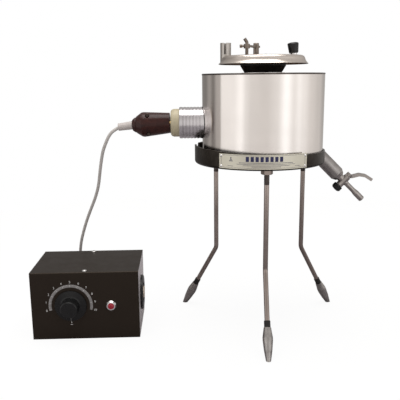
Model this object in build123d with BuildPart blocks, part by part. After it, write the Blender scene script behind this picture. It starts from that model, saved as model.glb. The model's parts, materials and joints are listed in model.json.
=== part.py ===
from build123d import *
import math
import os

# Electrically heated tar viscometer, in millimetres: +Z up, origin on the bench on the axis of the bath.

# --- driving dimensions ---------------------------------------------------------------------------
BATH_RADIUS = 80.0
BATH_TOP = 343.5
BATH_DEPTH = 105.0
SHEET = 1.0
TANK_RADIUS = BATH_RADIUS - 3.0
TANK_SHEET = 1.2
TANK_FLOOR = BATH_TOP - BATH_DEPTH
RIM_DEPTH = 2.0
TUBE_RADIUS = 24.0
TUBE_BORE = 22.4

RING_X = -3.8
RING_RADIUS = 86.7
RING_WALL = 2.4
RING_BOTTOM = 227.0
RING_PLATE = 3.0
RING_BORE = 58.0
RING_CORNER = 3.4
RING_TOP = 247.0
RING_SLOPE = 0.04
NOTCH_ANGLE = 169.0

LEG_RADIUS = 3.2
LEG_CIRCLE = 71.1
LEG_FOOT_CIRCLE = 127.0
LEG_BEND_HEIGHT = 96.35
LEG_BEND_RADIUS = 14.0
LEG_TOP = RING_BOTTOM + 9.4
LEG_ANGLES = {"front": -91.08, "right": 28.92, "left": 148.92}
FOOT_LENGTH = 40.0
FOOT_SOCKET = 15.0
NUT_HEIGHT = 6.0

HEATER_HEIGHT = 280.0
HEATER_SEAT = BATH_RADIUS + 3.6
HEATER_BOSS_RADIUS = 13.0
SHROUD_RADIUS = 20.75
SHROUD_END = 110.5
PORCELAIN_END = 121.9
PIN_RADIUS = 2.4
PIN_OFFSET = 6.5
ELEMENT_RADIUS = 3.5
ELEMENT_CIRCLE = 62.0

CONNECTOR_DROOP = 3.0
CONNECTOR_LENGTH = 51.3
CORD_RADIUS = 2.2

DRAIN_POINT = (81.5, 0, 229.9)
DRAIN_RADIUS = 9.8
DRAIN_BORE = 4.2
COCK_DISTANCE = 42.7
PLUG_CLEARANCE = 0.05

STIRRER_RADIUS = 28.0
STIRRER_SHEET = 1.0
STIRRER_BOTTOM = 246.0
STIRRER_TOP = 344.4
VANE_REACH = 47.0
SHIELD_RIM_RADIUS = 58.5
SHIELD_RIM = 355.0
SHIELD_TOP = 366.0
SHIELD_SHEET = 1.2
SHIELD_BORE = 26.6
THERMOMETER_X = -49.0
THERMOMETER_RADIUS = 7.0
KNOB_X = 40.0
KNOB_LEAN = 6.0
PIVOT = (-19.5, 24.0)
ARM_HEIGHT = 378.5
CLIP_ANGLE = 60.8
FIT = 0.05

CUP_RADIUS = 22.0
CUP_BORE = 20.0
CUP_DEPTH = 60.0
CUP_TOP = 344.2
JET_LENGTH = 5.0
JET_BORE = 5.0
BALL_RADIUS = 6.35
ROD_RADIUS = 1.6
ROD_TOP = 362.0

CASE_WIDTH = 141.4
CASE_DEPTH = 98.2
CASE_HEIGHT = 92.2
CASE_SHEET = 1.2
CASE_PLACE = (-236.4, -60.1)
CASE_YAW = 2.0
DIAL = (-18.9, 46.9)
LAMP = (33.9, 45.8)
INLET = (50.0, 45.0)
GLAND = (-28.9, 38.0)
GLAND_LENGTH = 12.0
SCREW_DEPTHS = (6.5, 92.0)

# the cord from the gland of the case to the boot of the connector
CORD_ROUTE = [
    (-269.13, 49.1, 38.0),
    (-269.6, 62.0, 38.0),
    (-271.5, 74.3, 44.7),
    (-271.8, 81.0, 56.3),
    (-270.6, 80.6, 69.7),
    (-266.8, 74.0, 93.2),
    (-260.4, 67.0, 113.2),
    (-252.9, 59.0, 132.7),
    (-244.2, 50.0, 151.8),
    (-235.2, 41.0, 170.4),
    (-228.0, 31.0, 189.5),
    (-223.8, 22.0, 209.6),
    (-219.9, 14.5, 227.0),
    (-215.9, 8.5, 242.0),
    (-211.6, 4.0, 251.5),
    (-206.2, 1.0, 262.7),
    (-199.5, 0.0, 270.6),
    (-191.0, 0.0, 274.6),
]


def direction(angle, lift=0.0):
    """The unit vector at an angle from +X in plan, lifted by an angle above the bench."""
    a = math.radians(angle)
    e = math.radians(lift)
    return Vector(math.cos(a) * math.cos(e), math.sin(a) * math.cos(e), math.sin(e))


# --- axes and planes that several pieces share ----------------------------------------------------
HEATER_AXIS = Axis((0, 0, HEATER_HEIGHT), (-1, 0, 0))
CONNECTOR_AXIS = Axis((-122.0, 0, HEATER_HEIGHT), direction(180, -CONNECTOR_DROOP))
DRAIN_AXIS = Axis(DRAIN_POINT, direction(0, -45))
COCK_CENTRE = DRAIN_AXIS.position + DRAIN_AXIS.direction * COCK_DISTANCE
PLUG_AXIS = Axis(COCK_CENTRE, direction(0, 45))
KNOB_AXIS = Axis((KNOB_X, 0, SHIELD_TOP), direction(180, 90 - KNOB_LEAN))
PIVOT_AXIS = Axis((PIVOT[0], PIVOT[1], 0), (0, 0, 1))
CLIP_REACH = math.hypot(*PIVOT)
CLIP_PLACE = Vector(PIVOT[0], PIVOT[1], 0) + direction(CLIP_ANGLE) * CLIP_REACH
CLIP_AXIS = Axis(CLIP_PLACE, (0, 0, 1))

CASE_FLOOR = Plane(origin=(*CASE_PLACE, 0), x_dir=direction(CASE_YAW), z_dir=(0, 0, 1))
CASE_FRONT = Plane(origin=(*CASE_PLACE, 0), x_dir=direction(CASE_YAW), z_dir=direction(CASE_YAW - 90))
CASE_BACK = CASE_FLOOR.from_local_coords((0, CASE_DEPTH, 0))
CASE_REAR = Plane(origin=CASE_BACK, x_dir=direction(CASE_YAW + 180), z_dir=direction(CASE_YAW + 90))
CASE_END = CASE_FLOOR.from_local_coords((CASE_WIDTH / 2, 0, 0))
CASE_SIDE = Plane(origin=CASE_END, x_dir=direction(CASE_YAW + 90), z_dir=direction(CASE_YAW))


def shifted(plane, place, height=0.0):
    """The same plane with its origin moved to a place on it, and to a height above it."""
    origin = plane.from_local_coords((place[0], place[1], height))
    return Plane(origin=origin, x_dir=plane.x_dir, z_dir=plane.z_dir)


DIAL_PLANE = shifted(CASE_FRONT, DIAL)
DIAL_AXIS = Axis(DIAL_PLANE.origin, DIAL_PLANE.z_dir)
LAMP_AXIS = Axis(shifted(CASE_FRONT, LAMP).origin, CASE_FRONT.z_dir)
INLET_AXIS = Axis(shifted(CASE_SIDE, INLET).origin, CASE_SIDE.z_dir)
GLAND_AXIS = Axis(shifted(CASE_REAR, (-GLAND[0], GLAND[1])).origin, CASE_REAR.z_dir)


# --- general shapes -------------------------------------------------------------------------------
def turned(axis, profile, normal=(0, 1, 0)):
    """A turned piece: the profile's points are distances along the axis and radii."""
    side = Plane(origin=axis.position, x_dir=axis.direction, z_dir=normal)
    with BuildPart() as piece:
        with BuildSketch(side):
            with BuildLine():
                Polyline(*profile, close=True)
            make_face()
        revolve(axis=axis)
    return piece


def tube(axis, start, end, outer, inner=0.0, normal=(0, 1, 0)):
    """A plain tube, or a rod when it has no bore."""
    return turned(axis, [(start, inner), (start, outer), (end, outer), (end, inner)], normal)


def hexagon(plane, corner_radius, height, bore):
    """A hexagon nut standing on a plane."""
    with BuildPart() as nut:
        with BuildSketch(plane):
            RegularPolygon(corner_radius, 6)
            Circle(bore, mode=Mode.SUBTRACT)
        extrude(amount=height)
    return nut


def swept(points, radius, corner):
    """A round bar along straight runs joined by arcs."""
    start = Vector(*points[0])
    with BuildPart() as bar:
        with BuildLine():
            FilletPolyline(*points, radius=corner)
        with BuildSketch(Plane(origin=start, z_dir=Vector(*points[1]) - start)):
            Circle(radius)
        sweep()
    return bar


def together(pieces):
    """Separate pieces kept as one group."""
    with BuildPart() as group:
        for piece in pieces:
            add(piece.part)
    return group


def write(piece, name):
    """Labels a finished piece and writes it."""
    piece.part.label = name
    export_step(piece.part, f"parts/{name}.step")


# --- stand ----------------------------------------------------------------------------------------
PLATE_RADIUS = RING_RADIUS + 0.6
PLATE_SPAN = (-130.0, -54.0)
PLATE_HEIGHTS = (229.3, 247.2)
RIVET_RADIUS = 1.0
RIVET_HEAD = 1.7
RIVET_INSET = 2.6


def ring_plane(angle, radius):
    """A plane square to the ring's radius, with its origin at bench height and its second axis up."""
    out = direction(angle)
    return Plane(origin=Vector(RING_X, 0, 0) + out * radius, x_dir=direction(angle + 90), z_dir=out)


def rivet_places():
    """The name plate's four rivets, as angle and height."""
    inset_angle = math.degrees(RIVET_INSET / PLATE_RADIUS)
    angles = (PLATE_SPAN[0] + inset_angle, PLATE_SPAN[1] - inset_angle)
    heights = (PLATE_HEIGHTS[0] + RIVET_INSET, PLATE_HEIGHTS[1] - RIVET_INSET)
    return [(a, h) for a in angles for h in heights]


def stand_ring():
    """The shallow pan that carries the bath: a flat plate with a wall whose top edge falls towards the drain."""
    drain_hole = tube(DRAIN_AXIS, -25, 20, DRAIN_RADIUS + 0.6)
    rivets = [turned(rivet_axis(a, h), [(-5, 0), (-5, RIVET_RADIUS), (1, RIVET_RADIUS), (1, 0)], (0, 0, 1))
              for a, h in rivet_places()]
    high = RING_TOP + 100 * RING_SLOPE
    low = RING_TOP - 100 * RING_SLOPE
    with BuildPart() as ring:
        with BuildSketch(Plane(origin=(RING_X, 0, RING_BOTTOM))):
            Circle(RING_RADIUS)
        extrude(amount=high - RING_BOTTOM)
        fillet(ring.edges().group_by(Axis.Z)[0], RING_CORNER)
        with BuildSketch(Plane(origin=(RING_X, 0, RING_BOTTOM + RING_PLATE))):
            Circle(RING_RADIUS - RING_WALL)
        extrude(amount=high, mode=Mode.SUBTRACT)
        with BuildSketch(Plane.XY.offset(RING_BOTTOM)):
            Circle(RING_BORE)
            with PolarLocations(LEG_CIRCLE, 3, start_angle=LEG_ANGLES["front"]):
                Circle(LEG_RADIUS + 0.1)
        extrude(amount=RING_PLATE, mode=Mode.SUBTRACT)
        with BuildSketch(Plane.XZ):
            with BuildLine():
                Polyline((-100, high), (100, low), (100, high + 9), (-100, high + 9), close=True)
            make_face()
        extrude(amount=100, both=True, mode=Mode.SUBTRACT)
        with BuildSketch(ring_plane(NOTCH_ANGLE, RING_RADIUS)):
            with BuildLine():
                Polyline((-12, 253), (-5, 236), (5, 236), (12, 253), close=True)
            make_face()
        extrude(amount=8, both=True, mode=Mode.SUBTRACT)
        add(drain_hole.part, mode=Mode.SUBTRACT)
        for rivet in rivets:
            add(rivet.part, mode=Mode.SUBTRACT)
    return ring


def rivet_axis(angle, height):
    """The line of a rivet, from the plate's face outwards."""
    out = direction(angle)
    return Axis(Vector(RING_X, 0, height) + out * PLATE_RADIUS, out)


def name_plate():
    """A thin plate bent round the front of the ring."""
    rivets = [turned(rivet_axis(a, h), [(-5, 0), (-5, RIVET_RADIUS), (1, RIVET_RADIUS), (1, 0)], (0, 0, 1))
              for a, h in rivet_places()]
    middle = sum(PLATE_SPAN) / 2
    reach = 130.0
    corners = [(0, 0)]
    for angle in (PLATE_SPAN[0], middle, PLATE_SPAN[1]):
        corner = direction(angle) * reach
        corners.append((corner.X, corner.Y))
    with BuildPart() as plate:
        with BuildSketch(Plane(origin=(RING_X, 0, PLATE_HEIGHTS[0]))):
            Circle(PLATE_RADIUS)
            Circle(RING_RADIUS, mode=Mode.SUBTRACT)
            Polygon(*corners, align=None, mode=Mode.INTERSECT)
        extrude(amount=PLATE_HEIGHTS[1] - PLATE_HEIGHTS[0])
        for rivet in rivets:
            add(rivet.part, mode=Mode.SUBTRACT)
    return plate


def plate_rivets():
    """Domed rivets at the corners of the name plate."""
    profile = [(-2.8, 0), (-2.8, RIVET_RADIUS), (0, RIVET_RADIUS), (0, RIVET_HEAD), (0.5, 1.3), (0.8, 0.6), (0.8, 0)]
    return together(turned(rivet_axis(a, h), profile, (0, 0, 1)) for a, h in rivet_places())


def leg_line(angle):
    """A leg's foot on the bench and the unit vector up its splayed part."""
    foot = direction(angle) * LEG_FOOT_CIRCLE
    bend = direction(angle) * LEG_CIRCLE + Vector(0, 0, LEG_BEND_HEIGHT)
    return Axis(foot, bend - foot)


def leg(angle):
    """A bent rod: upright under the ring, then splayed to its foot."""
    line = leg_line(angle)
    top = direction(angle) * LEG_CIRCLE + Vector(0, 0, LEG_TOP)
    bend = direction(angle) * LEG_CIRCLE + Vector(0, 0, LEG_BEND_HEIGHT)
    end = line.position + line.direction * FOOT_SOCKET
    return swept([tuple(top), tuple(bend), tuple(end)], LEG_RADIUS, LEG_BEND_RADIUS)


def foot(angle):
    """A cast nib on the end of a leg, cut flat where it stands on the bench."""
    line = leg_line(angle)
    across = direction(angle + 90)
    body = [(-4, 0), (-4, 2.7), (0, 3.2), (12, 5.2), (24, 6.4), (28, 6.4), (FOOT_LENGTH, 4.6), (FOOT_LENGTH, 0)]
    nib = turned(line, body, across)
    socket = tube(line, FOOT_SOCKET, FOOT_LENGTH + 1, LEG_RADIUS, 0, across)
    with BuildPart() as piece:
        add(nib.part)
        add(socket.part, mode=Mode.SUBTRACT)
        with BuildSketch(Plane(origin=line.position)):
            Rectangle(30, 30)
        extrude(amount=-12, mode=Mode.SUBTRACT)
    return piece


def foot_sleeves():
    """Dark sleeves on the rods just above the feet."""
    start = FOOT_LENGTH + 0.2
    return together(tube(leg_line(a), start, start + 8, LEG_RADIUS + 0.8, LEG_RADIUS, direction(a + 90))
                    for a in LEG_ANGLES.values())


def leg_nuts():
    """A collar nut under the ring and a lock nut inside it, on each leg."""
    nuts = []
    for angle in LEG_ANGLES.values():
        below = direction(angle) * LEG_CIRCLE + Vector(0, 0, RING_BOTTOM - NUT_HEIGHT)
        above = direction(angle) * LEG_CIRCLE + Vector(0, 0, RING_BOTTOM + RING_PLATE)
        nuts.append(hexagon(Plane(origin=below), 7.5, NUT_HEIGHT, LEG_RADIUS))
        nuts.append(hexagon(Plane(origin=above), 5.8, 5.0, LEG_RADIUS))
    return together(nuts)


# --- bath -----------------------------------------------------------------------------------------
def bath_jacket():
    """The polished outer casing."""
    heater_hole = tube(HEATER_AXIS, 60, 100, HEATER_BOSS_RADIUS + 0.1)
    drain_hole = tube(DRAIN_AXIS, -25, 20, DRAIN_RADIUS + 0.6)
    casing = tube(Axis.Z, RING_BOTTOM + RING_PLATE, BATH_TOP - RIM_DEPTH, BATH_RADIUS, BATH_RADIUS - SHEET)
    with BuildPart() as jacket:
        add(casing.part)
        add(heater_hole.part, mode=Mode.SUBTRACT)
        add(drain_hole.part, mode=Mode.SUBTRACT)
    return jacket


def bath_tank():
    """The water tank: a pot with a hole in its floor for the central tube."""
    inner = TANK_RADIUS - TANK_SHEET
    under = TANK_FLOOR - 1.5
    top = BATH_TOP - RIM_DEPTH
    pot = turned(Axis.Z, [(under, TUBE_RADIUS), (under, TANK_RADIUS), (top, TANK_RADIUS), (top, inner),
                          (TANK_FLOOR, inner), (TANK_FLOOR, TUBE_RADIUS)])
    heater_hole = tube(HEATER_AXIS, 60, 100, HEATER_BOSS_RADIUS)
    drain_hole = tube(DRAIN_AXIS, -25, 20, DRAIN_RADIUS)
    with BuildPart() as tank:
        add(pot.part)
        add(heater_hole.part, mode=Mode.SUBTRACT)
        add(drain_hole.part, mode=Mode.SUBTRACT)
    return tank


def bath_rim():
    """The rolled ring that closes the gap between casing and tank."""
    inner = TANK_RADIUS - TANK_SHEET - 0.2
    outer = BATH_RADIUS + 0.4
    low = BATH_TOP - RIM_DEPTH
    return turned(Axis.Z, [(low, inner), (low, outer), (BATH_TOP - 0.6, outer), (BATH_TOP, outer - 0.6),
                           (BATH_TOP, inner + 0.6), (BATH_TOP - 0.6, inner)])


SEAT = 339.8
TUBE_TOP = 342.0
SEAT_RADIUS = 23.3


def central_tube():
    """The open tube through the bath, with the seat that the cup hangs in."""
    return turned(Axis.Z, [(233, TUBE_BORE), (233, TUBE_RADIUS), (TUBE_TOP, TUBE_RADIUS), (TUBE_TOP, SEAT_RADIUS),
                           (SEAT, SEAT_RADIUS), (SEAT, TUBE_BORE)])


# --- heater ---------------------------------------------------------------------------------------
STEM_RADIUS = 10.1
STEM_START = 74.0
SADDLE = 0.6
SHROUD_BORE = SHROUD_RADIUS - 2.2


def heater_gasket():
    """A washer under the heater's flange, with a thin saddle that runs out under the cap's edge."""
    saddle = tube(HEATER_AXIS, 70, 90, SHROUD_RADIUS + 0.3, HEATER_BOSS_RADIUS + 0.2)
    skin = tube(Axis.Z, 200, BATH_TOP, BATH_RADIUS + SADDLE, BATH_RADIUS)
    washer = tube(HEATER_AXIS, 70, HEATER_SEAT, SHROUD_BORE - 0.3, HEATER_BOSS_RADIUS + 0.2)
    bath = tube(Axis.Z, 200, BATH_TOP, BATH_RADIUS)
    with BuildPart() as gasket:
        add(saddle.part)
        add(skin.part, mode=Mode.INTERSECT)
        add(washer.part)
        add(bath.part, mode=Mode.SUBTRACT)
    return gasket


def heater_body():
    """The brass screw plug that carries the element."""
    return turned(HEATER_AXIS, [(STEM_START, 0), (STEM_START, STEM_RADIUS), (HEATER_SEAT, STEM_RADIUS),
                                (HEATER_SEAT, 15), (89, 15), (89, 9), (100, 9), (100, 0)])


def heater_shroud():
    """The ribbed bright cap over the heater's terminals, its edge shaped to the round casing."""
    outline = [(72, SHROUD_BORE), (72, SHROUD_RADIUS)]
    for groove in range(6):
        start = 82.6 + 4.4 * groove
        outline += [(start, SHROUD_RADIUS), (start + 0.5, SHROUD_RADIUS - 0.6)]
        outline += [(start + 1.3, SHROUD_RADIUS - 0.6), (start + 1.8, SHROUD_RADIUS)]
    outline += [(SHROUD_END - 0.8, SHROUD_RADIUS), (SHROUD_END, SHROUD_RADIUS - 0.8), (SHROUD_END, 16.1)]
    outline += [(SHROUD_END - 2, 16.1), (SHROUD_END - 2, SHROUD_BORE)]
    bath = tube(Axis.Z, 200, BATH_TOP, BATH_RADIUS + SADDLE)
    with BuildPart() as shroud:
        add(turned(HEATER_AXIS, outline).part)
        add(bath.part, mode=Mode.SUBTRACT)
    return shroud


def pin_axes(axis):
    """Two lines beside an axis, one for each pin."""
    return [Axis(axis.position + Vector(0, side * PIN_OFFSET, 0), axis.direction) for side in (-1, 1)]


def heater_insulator():
    """The porcelain block that holds the pins."""
    block = turned(HEATER_AXIS, [(104, 0), (104, 16), (SHROUD_END, 16), (SHROUD_END, 18.4), (118, 18.4),
                                 (120.6, 17.4), (PORCELAIN_END, 15.5), (PORCELAIN_END, 0)])
    with BuildPart() as insulator:
        add(block.part)
        for line in pin_axes(HEATER_AXIS):
            add(tube(line, 100, 130, PIN_RADIUS).part, mode=Mode.SUBTRACT)
    return insulator


def heater_pins():
    """The two round pins that the connector pushes on to."""
    return together(tube(line, 100, 138, PIN_RADIUS) for line in pin_axes(HEATER_AXIS))


def heater_element():
    """A sheathed element: in through the wall, once round the bath and out again."""
    lead = 5.5
    turn = 8.0
    centre_y = lead + turn
    centre_x = -math.sqrt((ELEMENT_CIRCLE + turn) ** 2 - centre_y ** 2)
    share = ELEMENT_CIRCLE / (ELEMENT_CIRCLE + turn)
    join = (centre_x * share, centre_y * share)
    swing = math.atan2(join[1] - centre_y, join[0] - centre_x) + math.pi / 2
    middle_angle = -math.pi / 2 + swing / 2
    middle = (centre_x + turn * math.cos(middle_angle), centre_y + turn * math.sin(middle_angle))
    with BuildPart() as element:
        with BuildLine(Plane.XY.offset(HEATER_HEIGHT)):
            Line((-STEM_START, lead), (centre_x, lead))
            ThreePointArc((centre_x, lead), middle, join)
            ThreePointArc(join, (ELEMENT_CIRCLE, 0), (join[0], -join[1]))
            ThreePointArc((join[0], -join[1]), (middle[0], -middle[1]), (centre_x, -lead))
            Line((centre_x, -lead), (-STEM_START, -lead))
        with BuildSketch(Plane(origin=(-STEM_START, lead, HEATER_HEIGHT), z_dir=(1, 0, 0))):
            Circle(ELEMENT_RADIUS)
        sweep()
    return element


# --- connector and cord ---------------------------------------------------------------------------
CONTACT_RADIUS = 4.3
CONNECTOR_SCREW_PLACES = (-12.3, 12.3)
CONNECTOR_SCREW_DISTANCE = 30.0
BOOT_START = CONNECTOR_AXIS.position + CONNECTOR_AXIS.direction * (CONNECTOR_LENGTH + 0.5)
BOOT_END = Vector(-192.3, 0, 274.9)
BOOT_NECK = 4.6


def connector_screw_axis(place):
    """The line of a connector screw, from the joint of the halves towards the front."""
    along = CONNECTOR_AXIS.direction
    up = Vector(0, 1, 0).cross(along)
    return Axis(CONNECTOR_AXIS.position + along * CONNECTOR_SCREW_DISTANCE + up * place, (0, -1, 0))


def connector_moulding():
    """The whole bakelite body, hollow inside."""
    end = CONNECTOR_LENGTH
    outside = turned(CONNECTOR_AXIS, [(0.9, 0), (0.9, 13.4), (33, 16.2), (36, 16.4), (38.5, 15.9), (45.5, 11.2),
                                      (46.3, 10.0), (47.5, 9.9), (end - 1, 8.0), (end, 7.0), (end, 0)])
    chamber = turned(CONNECTOR_AXIS, [(21, 0), (21, 9.5), (40, 9.5), (44, BOOT_NECK), (end + 1, BOOT_NECK), (end + 1, 0)])
    with BuildPart() as moulding:
        add(outside.part)
        add(chamber.part, mode=Mode.SUBTRACT)
        for line in pin_axes(CONNECTOR_AXIS):
            add(tube(line, 0, 22, CONTACT_RADIUS).part, mode=Mode.SUBTRACT)
        for place in CONNECTOR_SCREW_PLACES:
            screw = connector_screw_axis(place)
            add(tube(screw, -6, 8, 1.5, 0, (0, 0, 1)).part, mode=Mode.SUBTRACT)
            add(tube(screw, 7.5, 20, 3.0, 0, (0, 0, 1)).part, mode=Mode.SUBTRACT)
    return moulding


def connector_half(keep):
    """One half of the body, on one side of its upright joint."""
    whole = connector_moulding()
    with BuildPart() as half:
        add(whole.part)
        split(bisect_by=Plane.XZ, keep=keep)
    return half


def connector_contacts():
    """The two brass sockets inside the body."""
    return together(tube(line, 1.2, 20.8, CONTACT_RADIUS, CONTACT_RADIUS - 0.9) for line in pin_axes(CONNECTOR_AXIS))


def connector_screws():
    """The two screws that hold the halves together."""
    profile = [(-6, 0), (-6, 1.5), (7.5, 1.5), (7.5, 2.8), (8.7, 2.8), (9.3, 2.0), (9.3, 0)]
    return together(turned(connector_screw_axis(place), profile, (0, 0, 1)) for place in CONNECTOR_SCREW_PLACES)


def connector_boot():
    """The rubber boot on the cord's end, with a neck held between the halves."""
    reach = BOOT_END - BOOT_START
    guard = turned(Axis(BOOT_START, reach), [(0, 0), (0, 5.5), (reach.length, 4.9), (reach.length, 0)])
    neck = tube(CONNECTOR_AXIS, 43, CONNECTOR_LENGTH + 1.2, BOOT_NECK)
    last = Vector(*CORD_ROUTE[-1])
    cord_hole = tube(Axis(last, Vector(*CORD_ROUTE[-2]) - last), 0, 8, CORD_RADIUS)
    with BuildPart() as boot:
        add(guard.part)
        add(neck.part)
        add(cord_hole.part, mode=Mode.SUBTRACT)
    return boot


def corner_radii(route):
    """The largest even arc that each corner's two runs allow."""
    points = [Vector(*p) for p in route]
    radii = []
    for before, here, after in zip(points, points[1:], points[2:]):
        into = here - before
        away = after - here
        half_turn = math.radians(into.get_angle(away)) / 2
        radii.append(0.45 * min(into.length, away.length) / math.tan(half_turn))
    return radii


def heater_cord():
    """The cord between the case and the connector."""
    radii = corner_radii(CORD_ROUTE)
    print("cord radii", [round(r, 1) for r in radii])
    start = Vector(*CORD_ROUTE[0])
    with BuildPart() as cord:
        with BuildLine() as path:
            FilletPolyline(*CORD_ROUTE, radius=radii)
        with BuildSketch(Plane(origin=start, z_dir=Vector(*CORD_ROUTE[1]) - start)):
            Circle(CORD_RADIUS)
        sweep()
    length = path.wires()[0].length
    print("cord length", round(length, 1), "volume", round(cord.part.volume, 1),
          "section x length", round(math.pi * CORD_RADIUS ** 2 * length, 1))
    return cord


# --- drain cock -----------------------------------------------------------------------------------
BARREL_RADIUS = 4.8
BARREL_HALF = 8.0
PLUG_RADIUS = 3.2
COCK_START = 31.0
NOZZLE_START = 47.5
NOZZLE_END = 79.5
HOSE_RADIUS = 4.2


def drain_pipe():
    """A thick pipe brazed into the lower corner of the tank."""
    pipe = turned(DRAIN_AXIS, [(-25, DRAIN_BORE), (-25, DRAIN_RADIUS), (29, DRAIN_RADIUS), (34, 7.2), (34, 4.2),
                               (COCK_START, 4.2)])
    water = tube(Axis.Z, TANK_FLOOR, BATH_TOP, TANK_RADIUS - TANK_SHEET)
    with BuildPart() as piece:
        add(pipe.part)
        add(water.part, mode=Mode.SUBTRACT)
    return piece


def cock_body():
    """The cock's body: a spigot in the pipe, a cross barrel for the plug and a flared nozzle."""
    stem = turned(DRAIN_AXIS, [(COCK_START, 0), (COCK_START, 4.2), (34, 4.2), (34, 5.2), (39, 5.2), (39, 4.0),
                               (NOZZLE_START, 4.0), (NOZZLE_START + 2, 3.4), (62, 3.4), (67, HOSE_RADIUS),
                               (NOZZLE_END - 0.6, HOSE_RADIUS), (NOZZLE_END, HOSE_RADIUS - 0.6), (NOZZLE_END, 0)])
    barrel = tube(PLUG_AXIS, -BARREL_HALF, BARREL_HALF, BARREL_RADIUS)
    plug_bore = tube(PLUG_AXIS, -BARREL_HALF - 1, BARREL_HALF + 1, PLUG_RADIUS + PLUG_CLEARANCE)
    waterway = tube(DRAIN_AXIS, COCK_START - 1, NOZZLE_END + 1, 2.1)
    with BuildPart() as body:
        add(stem.part)
        add(barrel.part)
        add(plug_bore.part, mode=Mode.SUBTRACT)
        add(waterway.part, mode=Mode.SUBTRACT)
    return body


def cock_plug():
    """The turning plug, cross-bored, with a spindle for the lever above and a thread for the nut below."""
    spindle = turned(PLUG_AXIS, [(-13.6, 0), (-13.6, 2.2), (-8.2, 2.2), (-8.2, PLUG_RADIUS), (8.2, PLUG_RADIUS),
                                 (8.2, 2.4), (13, 2.4), (13, 0)])
    waterway = tube(DRAIN_AXIS, COCK_DISTANCE - 8, COCK_DISTANCE + 8, 2.1)
    with BuildPart() as plug:
        add(spindle.part)
        add(waterway.part, mode=Mode.SUBTRACT)
    return plug


def cock_nut():
    """The dark knurled nut that holds the plug in."""
    place = COCK_CENTRE - PLUG_AXIS.direction * 13.4
    nut = hexagon(Plane(origin=place, x_dir=(0, 1, 0), z_dir=PLUG_AXIS.direction), 7.0, 5.0, 2.2)
    return nut


def cock_lever():
    """A bent flat lever with a round eye on the plug's spindle."""
    along = DRAIN_AXIS.direction
    up = PLUG_AXIS.direction
    eye = tube(PLUG_AXIS, 8.6, 12.8, 4.4, 2.4)
    path = [(3.0, 10.7), (6.0, 15.5), (9.0, 20.5), (16.0, 25.3), (26.5, 27.6)]
    places = [COCK_CENTRE + along * a + up * b for a, b in path]
    start = places[0]
    with BuildPart() as lever:
        with BuildLine():
            FilletPolyline(*places, radius=2.6)
        with BuildSketch(Plane(origin=start, x_dir=(0, 1, 0), z_dir=places[1] - start)):
            Rectangle(6.4, 4.2)
        sweep()
        add(eye.part)
        add(tube(PLUG_AXIS, 8, 14, 2.4).part, mode=Mode.SUBTRACT)
    return lever


# --- stirrer --------------------------------------------------------------------------------------
def stirrer_cylinder():
    """The tube that turns round the central tube, with a lip that runs on the tube's top."""
    inner = STIRRER_RADIUS - STIRRER_SHEET
    lip = TUBE_TOP + 0.4
    return turned(Axis.Z, [(STIRRER_BOTTOM, inner), (STIRRER_BOTTOM, STIRRER_RADIUS), (STIRRER_TOP, STIRRER_RADIUS),
                           (STIRRER_TOP, 23.6), (lip, 23.6), (lip, inner)])


def stirrer_vanes():
    """Four upright vanes whose ends are turned opposite ways."""
    half = 0.6
    edge = [(10, 252), (0, 268), (0, 320), (-10, 336)]
    outline = [(t + half, z) for t, z in edge] + [(t - half, z) for t, z in reversed(edge)]
    vanes = []
    for angle in (45, 135, 225, 315):
        out = direction(angle)
        face = Plane(origin=out * STIRRER_RADIUS, x_dir=direction(angle + 90), z_dir=out)
        with BuildPart() as vane:
            with BuildSketch(face):
                with BuildLine():
                    Polyline(*outline, close=True)
                make_face()
            extrude(amount=VANE_REACH - STIRRER_RADIUS)
        vanes.append(vane)
    return together(vanes)


COLLAR_SCREW_CIRCLE = 30.6
COLLAR_SCREW_ANGLES = (0, 95, 180, 270)
COLLAR_TOP = SHIELD_TOP - SHIELD_SHEET


def shield_collar():
    """The black funnel between the stirrer and its shield."""
    funnel = turned(Axis.Z, [(STIRRER_TOP, 23.6), (STIRRER_TOP, 24.4), (353, 29.7), (355.5, 29.7), (359.5, 34),
                             (COLLAR_TOP, 34), (COLLAR_TOP, SHIELD_BORE), (356, SHIELD_BORE), (352, 25.6)])
    with BuildPart() as collar:
        add(funnel.part)
        with BuildSketch(Plane.XY.offset(COLLAR_TOP - 4)):
            for angle in COLLAR_SCREW_ANGLES:
                spot = direction(angle) * COLLAR_SCREW_CIRCLE
                with Locations((spot.X, spot.Y)):
                    Circle(1.2)
            with Locations(PIVOT):
                Circle(2.2)
        extrude(amount=5, mode=Mode.SUBTRACT)
    return collar


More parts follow.
